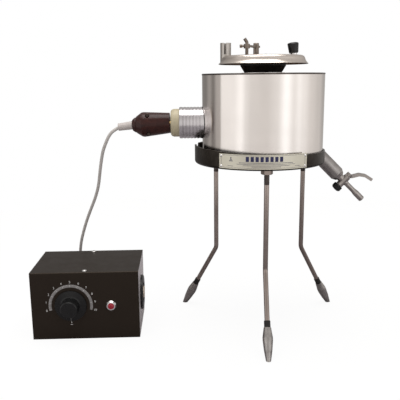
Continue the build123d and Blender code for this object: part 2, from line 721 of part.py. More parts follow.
def stirrer_shield():
    """The spun shield: a flat top and a flank that curves out, then in, to its rim."""
    thermometer_hole = tube(Axis((THERMOMETER_X, 0, 0), (0, 0, 1)), 340, 380, THERMOMETER_RADIUS)
    knob_hole = tube(KNOB_AXIS, -8, 4, 2.0)
    top = SHIELD_TOP
    under = SHIELD_TOP - SHIELD_SHEET
    with BuildPart() as shield:
        with BuildSketch(Plane.XZ):
            with BuildLine():
                Line((SHIELD_BORE, top), (49.2, top))
                ThreePointArc((49.2, top), (52.2, 364.9), (54.0, 362.0))
                ThreePointArc((54.0, 362.0), (55.7, 358.4), (SHIELD_RIM_RADIUS, SHIELD_RIM + 0.6))
                Line((SHIELD_RIM_RADIUS, SHIELD_RIM + 0.6), (SHIELD_RIM_RADIUS - 0.7, SHIELD_RIM))
                ThreePointArc((SHIELD_RIM_RADIUS - 0.7, SHIELD_RIM), (54.8, 357.7), (53.0, 361.5))
                ThreePointArc((53.0, 361.5), (51.4, 363.9), (49.0, under))
                Line((49.0, under), (SHIELD_BORE, under))
                Line((SHIELD_BORE, under), (SHIELD_BORE, top))
            make_face()
        revolve(axis=Axis.Z)
        add(thermometer_hole.part, mode=Mode.SUBTRACT)
        add(knob_hole.part, mode=Mode.SUBTRACT)
        with BuildSketch(Plane.XY.offset(under - 1)):
            for angle in COLLAR_SCREW_ANGLES:
                spot = direction(angle) * COLLAR_SCREW_CIRCLE
                with Locations((spot.X, spot.Y)):
                    Circle(1.2)
            with Locations(PIVOT):
                Circle(2.2)
        extrude(amount=4, mode=Mode.SUBTRACT)
    return shield


def shield_screws():
    """The small screws that hold the shield on its collar."""
    screws = []
    for angle in COLLAR_SCREW_ANGLES:
        line = Axis(direction(angle) * COLLAR_SCREW_CIRCLE, (0, 0, 1))
        low = COLLAR_TOP - 3.9
        screws.append(turned(line, [(low, 0), (low, 1.2), (SHIELD_TOP, 1.2), (SHIELD_TOP, 2.3),
                                    (SHIELD_TOP + 0.5, 2.2), (SHIELD_TOP + 1.1, 1.2), (SHIELD_TOP + 1.1, 0)]))
    return together(screws)


def thermometer_tube():
    """The upright tube that holds the bath thermometer, with a slot down its front for reading."""
    line = Axis((THERMOMETER_X, 0, 0), (0, 0, 1))
    holder = tube(line, 357.5, 382.3, THERMOMETER_RADIUS, THERMOMETER_RADIUS - 0.9)
    with BuildPart() as piece:
        add(holder.part)
        with BuildSketch(Plane(origin=(THERMOMETER_X - 1.0, 0, 0), x_dir=(1, 0, 0), z_dir=(0, -1, 0))):
            with Locations((0, 376)):
                Rectangle(2.6, 16)
        extrude(amount=10, mode=Mode.SUBTRACT)
    return piece


def stirrer_knob():
    """The insulated knob: wider at the top, with flutes round it."""
    body = turned(KNOB_AXIS, [(2.8, 0), (2.8, 5.4), (4.0, 6.1), (14.6, 7.3), (15.8, 6.5), (16.5, 3.9), (16.5, 0)])
    stud_hole = tube(KNOB_AXIS, 1, 11, 2.0)
    with BuildPart() as knob:
        add(body.part)
        add(stud_hole.part, mode=Mode.SUBTRACT)
        with BuildSketch(Plane(origin=KNOB_AXIS.position + KNOB_AXIS.direction * 2, z_dir=KNOB_AXIS.direction)):
            with PolarLocations(7.7, 14):
                Circle(0.9)
        extrude(amount=12, mode=Mode.SUBTRACT)
    return knob


def knob_stud():
    """The stud through the shield, with its head below and a plain collar above."""
    return turned(KNOB_AXIS, [(-4.6, 0), (-4.6, 3.6), (-1.8, 3.6), (-1.8, 2.0), (0.6, 2.0), (0.6, 4.2), (2.8, 4.2),
                              (2.8, 2.0), (10.8, 2.0), (10.8, 0)])


ARM_THICKNESS = 2.6
HUB_RADIUS = 4.2
PIVOT_RADIUS = 2.2


def valve_post():
    """The pivot pin of the valve support, leaning over at its top."""
    foot_z = COLLAR_TOP - 3.9
    return swept([(*PIVOT, foot_z), (*PIVOT, 384.5), (PIVOT[0] - 3.2, PIVOT[1], 389.4)], PIVOT_RADIUS, 3.0)


def valve_arm():
    """The swinging arm, from its hub on the post to the clip's seat."""
    reach = CLIP_PLACE - Vector(*PIVOT, 0)
    middle = Vector(*PIVOT, ARM_HEIGHT) + reach / 2
    hub = tube(PIVOT_AXIS, ARM_HEIGHT - 2.0, ARM_HEIGHT + ARM_THICKNESS + 1.2, HUB_RADIUS)
    pivot_hole = tube(PIVOT_AXIS, 370, 386, PIVOT_RADIUS + FIT)
    clip_hole = tube(CLIP_AXIS, 370, 386, 3.9)
    with BuildPart() as arm:
        with BuildSketch(Plane(origin=middle, x_dir=reach, z_dir=(0, 0, 1))):
            Rectangle(CLIP_REACH, 5.0)
            with Locations((CLIP_REACH / 2, 0)):
                Circle(5.4)
        extrude(amount=ARM_THICKNESS)
        add(hub.part)
        add(pivot_hole.part, mode=Mode.SUBTRACT)
        add(clip_hole.part, mode=Mode.SUBTRACT)
    return arm


def valve_clip():
    """The split sleeve that grips the valve rod."""
    sleeve = tube(CLIP_AXIS, 367.2, 383.4, 3.9, 2.0)
    with BuildPart() as clip:
        add(sleeve.part)
        with BuildSketch(Plane(origin=CLIP_PLACE, x_dir=direction(CLIP_ANGLE), z_dir=(0, 0, 1)).offset(367)):
            with Locations((4, 0)):
                Rectangle(8, 3.5)
        extrude(amount=11.3, mode=Mode.SUBTRACT)
    return clip


def clip_cap():
    """The bright turned cap on top of the clip."""
    return turned(CLIP_AXIS, [(383.4, 2.0), (383.4, 3.9), (384.4, 3.9), (384.9, 3.4), (384.9, 2.0)])


def arm_screw():
    """The thumb screw in the arm's hub."""
    line = Axis((*PIVOT, ARM_HEIGHT + 1.0), (-1, 0, 0))
    return turned(line, [(HUB_RADIUS + 0.1, 0), (HUB_RADIUS + 0.1, 1.3), (6.0, 1.3), (6.0, 2.3), (9.0, 2.3), (9.6, 1.7),
                         (9.6, 0)])


# --- cup and valve --------------------------------------------------------------------------------
def cup():
    """The brass cup with the flange that it hangs by."""
    floor = CUP_TOP - CUP_DEPTH
    under = floor - JET_LENGTH
    return turned(Axis.Z, [(under, 9.0), (under, CUP_RADIUS - 1), (under + 1, CUP_RADIUS), (SEAT + 0.05, CUP_RADIUS),
                           (SEAT + 0.05, SEAT_RADIUS - 0.1), (TUBE_TOP, SEAT_RADIUS - 0.1), (TUBE_TOP, CUP_RADIUS),
                           (CUP_TOP, CUP_RADIUS - 0.3), (CUP_TOP, CUP_BORE), (floor, CUP_BORE), (floor, 9.0)])


def orifice_jet():
    """The bronze jet in the floor of the cup."""
    floor = CUP_TOP - CUP_DEPTH
    return tube(Axis.Z, floor - JET_LENGTH, floor, 9.0, JET_BORE)


def valve():
    """The ball on its rod, with the levelling peg."""
    seat_height = math.sqrt(BALL_RADIUS ** 2 - JET_BORE ** 2)
    centre = CUP_TOP - CUP_DEPTH + seat_height + 0.3
    peg = tube(Axis((0, 0, 334.0), (0, 1, 0)), 0, 6, 0.9, 0, (1, 0, 0))
    rod = turned(Axis.Z, [(centre, 0), (centre, ROD_RADIUS), (ROD_TOP - 0.6, ROD_RADIUS), (ROD_TOP, 1.0), (ROD_TOP, 0)])
    with BuildPart() as piece:
        with Locations((0, 0, centre)):
            Sphere(BALL_RADIUS)
        add(rod.part)
        add(peg.part)
    return piece


# --- regulator case -------------------------------------------------------------------------------
PANEL_HOLE = 4.0
LAMP_THREAD = 5.0
GLAND_THREAD = 5.4
INLET_BODY = 17.0
RAIL = 8.0
SCREW_RADIUS = 1.6


def case_cover():
    """One folded black sheet: front, top and rear."""
    t = CASE_SHEET
    d = CASE_DEPTH
    h = CASE_HEIGHT
    fold = [(0, 0), (0, h), (d, h), (d, 0), (d - t, 0), (d - t, h - t), (t, h - t), (t, 0)]
    with BuildPart() as cover:
        with BuildSketch(CASE_SIDE):
            with BuildLine():
                Polyline(*fold, close=True)
            make_face()
        extrude(amount=-CASE_WIDTH)
        fillet(cover.edges().filter_by(Axis(CASE_FLOOR.origin, CASE_FLOOR.x_dir)).group_by(Axis.Z)[-1], 1.4)
        with BuildSketch(CASE_FRONT.offset(-t)):
            with Locations(DIAL):
                Circle(PANEL_HOLE)
            with Locations(LAMP):
                Circle(LAMP_THREAD)
        extrude(amount=t, mode=Mode.SUBTRACT)
        with BuildSketch(CASE_REAR.offset(-t)):
            with Locations((-GLAND[0], GLAND[1])):
                Circle(GLAND_THREAD)
        extrude(amount=t, mode=Mode.SUBTRACT)
        with BuildSketch(CASE_FLOOR.offset(h - t)):
            for depth in SCREW_DEPTHS:
                with Locations((0, depth)):
                    Circle(SCREW_RADIUS)
        extrude(amount=t, mode=Mode.SUBTRACT)
    return cover


def case_chassis():
    """One folded aluminium sheet: base and both ends."""
    t = CASE_SHEET
    w = CASE_WIDTH / 2
    h = CASE_HEIGHT - t
    fold = [(-w, 0), (-w, h), (-w + t, h), (-w + t, t), (w - t, t), (w - t, h), (w, h), (w, 0)]
    with BuildPart() as chassis:
        with BuildSketch(CASE_FRONT.offset(-t)):
            with BuildLine():
                Polyline(*fold, close=True)
            make_face()
        extrude(amount=-(CASE_DEPTH - 2 * t))
        with BuildSketch(CASE_SIDE.offset(-t)):
            with Locations(INLET):
                Circle(INLET_BODY)
        extrude(amount=t, mode=Mode.SUBTRACT)
    return chassis


def case_rails():
    """Two bars under the top, tapped for the cover's screws."""
    length = CASE_WIDTH - 2 * CASE_SHEET
    top = CASE_HEIGHT - CASE_SHEET
    rails = []
    for depth in SCREW_DEPTHS:
        with BuildPart() as rail:
            with BuildSketch(shifted(CASE_FLOOR, (0, depth), top - RAIL)):
                Rectangle(length, RAIL)
            extrude(amount=RAIL)
            with BuildSketch(shifted(CASE_FLOOR, (0, depth), top - 6)):
                Circle(SCREW_RADIUS)
            extrude(amount=6, mode=Mode.SUBTRACT)
        rails.append(rail)
    return together(rails)


def case_screws():
    """The two bright screws on top."""
    screws = []
    for depth in SCREW_DEPTHS:
        line = Axis(CASE_FLOOR.from_local_coords((0, depth, 0)), (0, 0, 1))
        h = CASE_HEIGHT
        screws.append(turned(line, [(h - 7, 0), (h - 7, SCREW_RADIUS), (h, SCREW_RADIUS), (h, 3.2), (h + 0.8, 3.0),
                                    (h + 1.6, 1.8), (h + 1.6, 0)]))
    return together(screws)


DIAL_PITCH = 20.4
DIAL_MARKS = 11
DIAL_START = 192.0
MARK_CIRCLE = 31.7
PRINT = 0.25


def dial_band():
    """The pale arc printed round the knob."""
    spread = 60.0
    low = []
    for angle in (DIAL_START - 1.5, 225, 270, 315, -10.5):
        corner = direction(angle) * spread
        low.append((corner.X, corner.Y))
    with BuildPart() as band:
        with BuildSketch(DIAL_PLANE):
            Circle(29.0)
            Circle(25.2, mode=Mode.SUBTRACT)
            Polygon((0, 0), *low, align=None, mode=Mode.SUBTRACT)
        extrude(amount=PRINT)
    return band


def dial_marks():
    """The scale's figures as small raised dots, and the off mark below the knob."""
    with BuildPart() as marks:
        with BuildSketch(DIAL_PLANE):
            for mark in range(DIAL_MARKS):
                spot = direction(DIAL_START - DIAL_PITCH * mark) * MARK_CIRCLE
                with Locations((spot.X, spot.Y)):
                    Circle(0.9)
            with Locations((0, -23.6)):
                Rectangle(0.8, 2.2)
        extrude(amount=PRINT)
    return marks


KNOB_LIFT = 0.6
SHAFT_RADIUS = 2.9


def regulator_knob():
    """The black control knob: a thin skirt and a fluted grip, recessed beneath for the fixing nut."""
    body = turned(DIAL_AXIS, [(KNOB_LIFT, 8.5), (KNOB_LIFT, 20.4), (1.6, 21.0), (2.6, 20.6), (3.6, 14.0), (4.2, 12.4),
                              (16.4, 11.2), (17.4, 10.2), (17.4, 0), (13, 0), (13, SHAFT_RADIUS), (3.4, SHAFT_RADIUS),
                              (3.4, 8.5)], (0, 0, 1))
    pointer = knob_pointer()
    with BuildPart() as knob:
        add(body.part)
        with BuildSketch(DIAL_PLANE.offset(5)):
            with PolarLocations(13.0, 16):
                Circle(1.5)
        extrude(amount=14, mode=Mode.SUBTRACT)
        add(pointer.part, mode=Mode.SUBTRACT)
    return knob


def knob_pointer():
    """The white line on the knob's skirt; it points down, at off."""
    with BuildPart() as pointer:
        with BuildSketch(DIAL_PLANE.offset(2.62)):
            with Locations((0, -17.6)):
                Rectangle(1.2, 5.4)
        extrude(amount=0.9)
    return pointer


def energy_regulator():
    """The energy regulator behind the panel, with its threaded bush."""
    bush = tube(DIAL_AXIS, -6, 0.2, PANEL_HOLE, SHAFT_RADIUS + FIT, (0, 0, 1))
    with BuildPart() as regulator:
        with BuildSketch(DIAL_PLANE.offset(-34)):
            Rectangle(38, 38)
        extrude(amount=28)
        with BuildSketch(DIAL_PLANE.offset(-10)):
            Circle(SHAFT_RADIUS + FIT)
        extrude(amount=4, mode=Mode.SUBTRACT)
        add(bush.part)
    return regulator


def regulator_shaft():
    """The spindle that the knob turns."""
    return tube(DIAL_AXIS, -9.5, 13, SHAFT_RADIUS, 0, (0, 0, 1))


def regulator_nut():
    """The thin nut that fixes the regulator's bush to the panel."""
    with BuildPart() as nut:
        with BuildSketch(DIAL_PLANE):
            RegularPolygon(7.6, 6)
            Circle(PANEL_HOLE, mode=Mode.SUBTRACT)
        extrude(amount=2.2)
    return nut


def pilot_bezel():
    """The chrome ring and barrel of the pilot lamp."""
    return turned(LAMP_AXIS, [(-18, 4.2), (-18, LAMP_THREAD), (0, LAMP_THREAD), (0, 6.9), (1.2, 6.9), (3.0, 5.6),
                              (3.2, 4.9), (3.2, 4.2)], (0, 0, 1))


def pilot_lens():
    """The red lens."""
    return turned(LAMP_AXIS, [(-2, 0), (-2, 4.2), (3.2, 4.2), (4.4, 3.5), (5.1, 2.0), (5.3, 0)], (0, 0, 1))


INLET_FLANGE = 24.0
INLET_BORE = 14.0


def inlet_body():
    """The round black housing of the mains inlet."""
    return turned(INLET_AXIS, [(-18, 0), (-18, INLET_BODY), (0, INLET_BODY), (0, INLET_FLANGE), (2.2, INLET_FLANGE),
                               (3.2, 22.5), (3.2, INLET_BORE), (-12, INLET_BORE), (-12, 0)], (0, 0, 1))


def inlet_core():
    """The pale moulding at the bottom of the inlet, bored for its three pins."""
    face = Plane(origin=INLET_AXIS.position, x_dir=(0, 0, 1), z_dir=INLET_AXIS.direction)
    block = turned(INLET_AXIS, [(-12, 0), (-12, INLET_BORE), (0, INLET_BORE), (0, 8), (4, 8), (4, 0)], (0, 0, 1))
    with BuildPart() as core:
        add(block.part)
        with BuildSketch(face.offset(-4)):
            with PolarLocations(4.6, 3):
                Circle(1.5)
        extrude(amount=9, mode=Mode.SUBTRACT)
    return core


def inlet_pins():
    """The three pins, sunk in the holes of the core."""
    pins = []
    for angle in (0, 120, 240):
        out = Vector(0, 0, 1).rotate(Axis((0, 0, 0), INLET_AXIS.direction), angle) * 4.6
        pins.append(tube(Axis(INLET_AXIS.position + out, INLET_AXIS.direction), -4, 2, 1.1, 0, (0, 0, 1)))
    return together(pins)


def cord_gland():
    """The gland in the rear panel; the cord enters its end."""
    return turned(GLAND_AXIS, [(-8, 2.3), (-8, GLAND_THREAD), (0, GLAND_THREAD), (0, 8.0), (3.2, 8.0), (4.0, 6.8),
                               (9.5, 5.2), (GLAND_LENGTH, 3.8), (GLAND_LENGTH, 0), (6, 0), (6, 2.3)], (0, 0, 1))


BLOCK_TOP = 14.0


def terminal_block():
    """The block on the base where the wires meet."""
    with BuildPart() as block:
        with BuildSketch(shifted(CASE_FLOOR, (8, 66), CASE_SHEET)):
            Rectangle(44, 16)
        extrude(amount=BLOCK_TOP - CASE_SHEET)
    return block


def case_wiring():
    """The wires inside the case, each from its piece to the terminal block."""
    routes = [
        [(-28.9, 90.1, 38), (-28.9, 78, 38), (-10, 66, 34), (-10, 66, BLOCK_TOP)],
        [(-12, 34.2, 40), (-12, 46, 40), (2, 62, 36), (2, 62, BLOCK_TOP)],
        [(33.9, 18.2, 45.8), (33.9, 30, 45.8), (14, 62, 36), (14, 62, BLOCK_TOP)],
        [(52.5, 50, 45), (40, 50, 45), (26, 66, 38), (26, 66, BLOCK_TOP)],
    ]
    wires = []
    for route in routes:
        places = [tuple(CASE_FLOOR.from_local_coords(place)) for place in route]
        wires.append(swept(places, 1.1, 5.0))
    return together(wires)


os.makedirs("parts", exist_ok=True)

write(stand_ring(), "stand_ring")
write(name_plate(), "name_plate")
write(plate_rivets(), "plate_rivets")
for side, leg_angle in LEG_ANGLES.items():
    write(leg(leg_angle), f"leg_{side}")
write(together(foot(a) for a in LEG_ANGLES.values()), "feet")
write(foot_sleeves(), "foot_sleeves")
write(leg_nuts(), "leg_nuts")
write(bath_jacket(), "bath_jacket")
write(bath_tank(), "bath_tank")
write(bath_rim(), "bath_rim")
write(central_tube(), "central_tube")
write(tube(HEATER_AXIS, 73, HEATER_SEAT, HEATER_BOSS_RADIUS, STEM_RADIUS + 0.1), "heater_boss")
write(heater_gasket(), "heater_gasket")
write(heater_body(), "heater_body")
write(heater_shroud(), "heater_shroud")
write(heater_insulator(), "heater_insulator")
write(heater_pins(), "heater_pins")
write(heater_element(), "heater_element")
write(connector_half(Keep.TOP), "connector_front")
write(connector_half(Keep.BOTTOM), "connector_back")
write(connector_contacts(), "connector_contacts")
write(connector_screws(), "connector_screws")
write(connector_boot(), "connector_boot")
write(heater_cord(), "heater_cord")
write(drain_pipe(), "drain_pipe")
write(cock_body(), "cock_body")
write(cock_plug(), "cock_plug")
write(cock_nut(), "cock_nut")
write(cock_lever(), "cock_lever")
write(stirrer_cylinder(), "stirrer_cylinder")
write(stirrer_vanes(), "stirrer_vanes")
write(shield_collar(), "shield_collar")
write(stirrer_shield(), "stirrer_shield")
write(shield_screws(), "shield_screws")
write(thermometer_tube(), "thermometer_tube")
write(stirrer_knob(), "stirrer_knob")
write(knob_stud(), "knob_stud")
write(valve_post(), "valve_post")
write(together([valve_arm(), arm_screw()]), "valve_arm")
write(together([valve_clip(), clip_cap()]), "valve_clip")
write(cup(), "cup")
write(orifice_jet(), "orifice_jet")
write(valve(), "valve")
write(case_cover(), "case_cover")
write(case_chassis(), "case_chassis")
write(case_rails(), "case_rails")
write(case_screws(), "case_screws")
write(together([dial_band(), dial_marks()]), "dial_scale")
write(regulator_knob(), "regulator_knob")
write(knob_pointer(), "knob_pointer")
write(together([energy_regulator(), regulator_nut()]), "energy_regulator")
write(regulator_shaft(), "regulator_shaft")
write(pilot_bezel(), "pilot_bezel")
write(pilot_lens(), "pilot_lens")
write(together([inlet_body(), inlet_core(), inlet_pins()]), "mains_inlet")
write(cord_gland(), "cord_gland")
write(terminal_block(), "terminal_block")
write(case_wiring(), "case_wiring")
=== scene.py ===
"""Looks for the tar viscometer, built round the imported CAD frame. Shapes are worked out in millimetres."""

import math

import bpy
from mathutils import Matrix, Vector
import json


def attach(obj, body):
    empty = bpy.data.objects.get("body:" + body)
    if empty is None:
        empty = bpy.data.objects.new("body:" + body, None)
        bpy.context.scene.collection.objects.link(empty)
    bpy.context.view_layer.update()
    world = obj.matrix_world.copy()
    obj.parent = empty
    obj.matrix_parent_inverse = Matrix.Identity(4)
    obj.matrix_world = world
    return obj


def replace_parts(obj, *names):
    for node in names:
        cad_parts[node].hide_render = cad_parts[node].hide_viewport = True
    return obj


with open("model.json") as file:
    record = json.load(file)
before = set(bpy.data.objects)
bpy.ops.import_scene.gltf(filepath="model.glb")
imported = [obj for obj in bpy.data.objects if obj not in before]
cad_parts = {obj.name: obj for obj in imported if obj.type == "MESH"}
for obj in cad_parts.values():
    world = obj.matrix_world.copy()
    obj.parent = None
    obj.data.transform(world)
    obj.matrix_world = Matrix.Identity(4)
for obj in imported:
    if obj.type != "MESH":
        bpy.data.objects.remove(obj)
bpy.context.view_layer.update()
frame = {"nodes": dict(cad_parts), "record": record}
NODES = frame["nodes"]
RECORD = frame["record"]
NODE_BODY = {name: body for body, names in RECORD["behaviour"]["bodies"].items() for name in names}
SLOT_OF = {row["node"]: row["material_slot"] for row in RECORD["subparts"]}
MM = 0.001
UP = Vector((0, 0, 1))


def link(name, data):
    """A new object in the scene."""
    made = bpy.data.objects.new(name, data)
    bpy.context.scene.collection.objects.link(made)
    return made


# --- camera and cord --------------------------------------------------------------------------------
CAMERA_PLACE = (-0.08415, -0.76872, 0.33693)
CAMERA_PITCH = math.radians(11.94)
CAMERA_ROLL = math.radians(-0.52)
CAMERA_LENS = 51.5
CAMERA_SENSOR = 36

CORD_RADIUS = 0.0022
CORD_ROUTE = [
    (-0.26913, 0.0491, 0.0380),
    (-0.2696, 0.0620, 0.0380),
    (-0.2715, 0.0743, 0.0447),
    (-0.2718, 0.0810, 0.0563),
    (-0.2706, 0.0806, 0.0697),
    (-0.2668, 0.0740, 0.0932),
    (-0.2604, 0.0670, 0.1132),
    (-0.2529, 0.0590, 0.1327),
    (-0.2442, 0.0500, 0.1518),
    (-0.2352, 0.0410, 0.1704),
    (-0.2280, 0.0310, 0.1895),
    (-0.2238, 0.0220, 0.2096),
    (-0.2199, 0.0145, 0.2270),
    (-0.2159, 0.0085, 0.2420),
    (-0.2116, 0.0040, 0.2515),
    (-0.2062, 0.0010, 0.2627),
    (-0.1995, 0.0000, 0.2706),
    (-0.1910, 0.0000, 0.2746),
]


def make_camera():
    """A view from the front, tipped down and rolled a little."""
    data = bpy.data.cameras.new("camera")
    data.lens = CAMERA_LENS
    data.sensor_width = CAMERA_SENSOR
    right = Vector((1, 0, 0))
    forward = Vector((0, math.cos(CAMERA_PITCH), -math.sin(CAMERA_PITCH)))
    up = Vector((0, math.sin(CAMERA_PITCH), math.cos(CAMERA_PITCH)))
    rolled_right = right * math.cos(CAMERA_ROLL) + up * math.sin(CAMERA_ROLL)
    rolled_up = up * math.cos(CAMERA_ROLL) - right * math.sin(CAMERA_ROLL)
    turn = Matrix((rolled_right, rolled_up, -forward)).transposed()
    camera = link("camera", data)
    camera.matrix_world = Matrix.Translation(CAMERA_PLACE) @ turn.to_4x4()
    bpy.context.scene.camera = camera


def make_cord():
    """The cord's curve. Each point carries the cord's radius, and the bevel is a unit circle."""
    curve = bpy.data.curves.new("flex", "CURVE")
    curve.dimensions = "3D"
    curve.bevel_depth = 1.0
    curve.bevel_resolution = 8
    curve.resolution_u = 16
    curve.use_fill_caps = True
    spline = curve.splines.new("NURBS")
    spline.points.add(len(CORD_ROUTE) - 1)
    for point, place in zip(spline.points, CORD_ROUTE):
        point.co = (*place, 1)
        point.radius = CORD_RADIUS
    spline.order_u = 3
    spline.use_endpoint_u = True
    return link("flex", curve)


make_camera()
cord = make_cord()


# --- materials --------------------------------------------------------------------------------------
class Tree:
    """Builds the nodes of a material or a world."""

    def __init__(self, owner):
        owner.use_nodes = True
        self.nodes = owner.node_tree.nodes
        self.links = owner.node_tree.links

    def give(self, node, inputs):
        """Gives inputs, by name or number, a value or another node's output."""
        for key, value in inputs.items():
            if isinstance(value, bpy.types.NodeSocket):
                self.links.new(value, node.inputs[key])
            else:
                node.inputs[key].default_value = value

    def add(self, kind, inputs=None, **settings):
        node = self.nodes.new(kind)
        for key, value in settings.items():
            setattr(node, key, value)
        self.give(node, inputs or {})
        return node

    def remap(self, value, low, high, to_low=0.0, to_high=1.0):
        return self.add("ShaderNodeMapRange", {
            "From Min": low, "From Max": high, "To Min": to_low, "To Max": to_high, "Value": value,
        }).outputs["Result"]

    def mix(self, factor, first, second):
        """Blends two colours. The Mix node's colours are its inputs 6 and 7, and its output 2."""
        first, second = ((*c, 1) if isinstance(c, tuple) else c for c in (first, second))
        return self.add("ShaderNodeMix", {"Factor": factor, 6: first, 7: second}, data_type="RGBA").outputs[2]


LOOKS = {}
NOISE_LOW, NOISE_HIGH = 0.3, 0.7    # where nearly all of a noise lies


class Recipe(Tree):
    """A material round one Principled shader. Every recipe calls vary and bump, then done."""

    def __init__(self, name, colour, rough, metal=0.0, shine=0.5):
        self.name = name
        self.material = bpy.data.materials.new(name)
        super().__init__(self.material)
        self.shader = self.nodes["Principled BSDF"]
        self.give(self.shader, {"Metallic": metal, "Specular IOR Level": shine})
        self.coordinates = self.add("ShaderNodeTexCoord").outputs["Object"]
        self.colour = colour
        self.rough = rough

    def noise(self, scale, stretch=(1, 1, 1), detail=4.0, warp=0.0):
        mapping = self.add("ShaderNodeMapping", {"Scale": stretch, "Vector": self.coordinates})
        return self.add("ShaderNodeTexNoise", {
            "Scale": scale, "Detail": detail, "Distortion": warp, "Vector": mapping.outputs["Vector"],
        }).outputs["Fac"]

    def vary(self, factor, amount, light=None):
        """Lets the colour drift between two shades."""
        dark = tuple(c * (1 - amount) for c in self.colour)
        light = light or tuple(min(1.0, c * (1 + amount)) for c in self.colour)
        self.colour = self.mix(self.remap(factor, NOISE_LOW, NOISE_HIGH), dark, light)

    def worn(self, colour):
        """Rubs the edges through to another colour, in patches."""
        edges = self.remap(self.add("ShaderNodeNewGeometry").outputs["Pointiness"], 0.52, 0.62)
        patches = self.remap(self.noise(180, detail=6), 0.35, 0.65, 0.2, 0.8)
        both = self.add("ShaderNodeMath", {0: edges, 1: patches}, operation="MULTIPLY")
        self.colour = self.mix(both.outputs[0], self.colour, colour)

    def roughen(self, factor, spread):
        self.rough = self.remap(factor, NOISE_LOW, NOISE_HIGH, self.rough - spread, self.rough + spread)

    def bump(self, height, strength, distance):
        node = self.add("ShaderNodeBump", {"Strength": strength, "Distance": distance, "Height": height})
        self.give(self.shader, {"Normal": node.outputs["Normal"]})

    def done(self):
        self.give(self.shader, {"Base Color": self.colour, "Roughness": self.rough})
        LOOKS[self.name] = self.material


def spun_metal(name, colour, rough, line=1400.0, strength=0.05, spread=0.03, drift=0.04, drawn=0.0, axis=2):
    """Metal turned or brushed round an axis; drawn is how far its lines spread a reflection."""
    r = Recipe(name, colour, rough, 1.0)
    if drawn:
        lay = r.add("ShaderNodeTangent", direction_type="RADIAL", axis="Z")
        r.give(r.shader, {"Tangent": lay.outputs["Tangent"], "Anisotropic": drawn,
                          "Anisotropic Rotation": 0.25})
    stretch = [6, 6, 6]
    stretch[axis] = line
    lines = r.noise(1.0, stretch, detail=3)
    r.vary(r.noise(22, (1, 1, 0.35), detail=3), drift)
    r.roughen(r.noise(14, (1, 1, 4), detail=5), spread)
    r.bump(lines, strength, 0.00008)
    r.done()


def plain_metal(name, colour, rough, scale=60.0, drift=0.06, spread=0.05, strength=0.04, tarnish=None):
    """Plated, drawn or machined metal with faint stains and scratches."""
    r = Recipe(name, colour, rough, 1.0)
    r.vary(r.noise(scale, detail=6, warp=0.4), drift, tarnish)
    r.roughen(r.noise(scale * 2.3, detail=6), spread)
    r.bump(r.noise(scale * 14, detail=4), strength, 0.00006)
    r.done()


def paint(name, colour, rough, scale=420.0, strength=0.12, drift=0.12, worn=None, shine=0.25,
          tint=(1, 1, 1)):
    """Stoved or enamelled paint, slightly orange-peeled, rubbed through at the edges."""
    r = Recipe(name, colour, rough, shine=shine)
    r.give(r.shader, {"Specular Tint": (*tint, 1)})
    r.vary(r.noise(30, detail=5), drift)
    if worn:
        r.worn(worn)
    r.roughen(r.noise(70, detail=6), 0.05)
    r.bump(r.noise(scale, detail=2), strength, 0.0001)
    r.done()


def moulded(name, colour, rough, swirl=0.2, scale=55.0, coat=0.0, strength=0.03, shine=0.5):
    """Moulded plastic, rubber, porcelain or a print in thick ink."""
    r = Recipe(name, colour, rough, shine=shine)
    r.vary(r.noise(scale, detail=5, warp=1.6), swirl)
    r.roughen(r.noise(scale * 3, detail=4), 0.04)
    r.bump(r.noise(scale * 12, detail=3), strength, 0.0001)
    r.give(r.shader, {"Coat Weight": coat, "Coat Roughness": 0.08})
    r.done()


def clear_red(name):
    """The pilot lamp's lens, faintly lit."""
    r = Recipe(name, (0.36, 0.010, 0.028), 0.14)
    r.vary(r.noise(500, detail=2), 0.15)
    r.bump(r.noise(900, detail=1), 0.05, 0.0001)
    r.give(r.shader, {"Transmission Weight": 0.25, "Emission Color": (0.6, 0.02, 0.05, 1),
                      "Emission Strength": 0.04})
    r.done()


# metals
spun_metal("jacket_aluminium", (0.78, 0.735, 0.70), 0.19, spread=0.02, drift=0.05, strength=0.02, drawn=0.9)
plain_metal("tank_copper", (0.60, 0.50, 0.43), 0.42, tarnish=(0.42, 0.29, 0.22))
plain_metal("tinned", (0.30, 0.28, 0.27), 0.3, 70, 0.2, 0.08, 0.1)
# the rim's metal, darkened as painted shade for the shadow along the bath's top edge
plain_metal("rim_painted_shade", (0.11, 0.095, 0.085), 0.3, 70, 0.2, 0.08, 0.1)
spun_metal("plate_metal", (0.60, 0.57, 0.48), 0.42, line=900, drift=0.06)
spun_metal("leg_steel", (0.31, 0.26, 0.235), 0.23, line=60, strength=0.1, spread=0.07, drift=0.2)
plain_metal("foot_metal", (0.34, 0.32, 0.305), 0.3, 120, 0.2, 0.08, 0.35)
plain_metal("chrome", (0.70, 0.685, 0.68), 0.18, 50, 0.07, 0.05)
spun_metal("warm_chrome", (0.60, 0.545, 0.495), 0.29, spread=0.05, drift=0.08)
spun_metal("shroud_chrome", (0.60, 0.58, 0.59), 0.24, line=1100, strength=0.35, spread=0.08, drift=0.16,
           axis=0)
spun_metal("tube_satin", (0.43, 0.40, 0.37), 0.33, spread=0.05, drift=0.1)
plain_metal("nickel", (0.36, 0.33, 0.31), 0.27, 90, 0.18, 0.08, 0.1)
plain_metal("brass", (0.72, 0.50, 0.20), 0.28, 70, 0.1, 0.06)
plain_metal("bronze", (0.56, 0.36, 0.17), 0.32, 70, 0.1, 0.06)
plain_metal("element_sheath", (0.34, 0.32, 0.31), 0.45, 80, 0.25, 0.08)
spun_metal("case_aluminium", (0.74, 0.715, 0.71), 0.3, line=500, spread=0.05)
plain_metal("thread_dark", (0.09, 0.075, 0.068), 0.4, 90, 0.2, 0.08, 0.2)
plain_metal("arm_metal", (0.20, 0.165, 0.14), 0.3, 90, 0.2, 0.08, 0.1)
plain_metal("steel", (0.55, 0.54, 0.53), 0.3, 80, 0.08)
plain_metal("screw_dark", (0.06, 0.045, 0.04), 0.4, 80, 0.08)

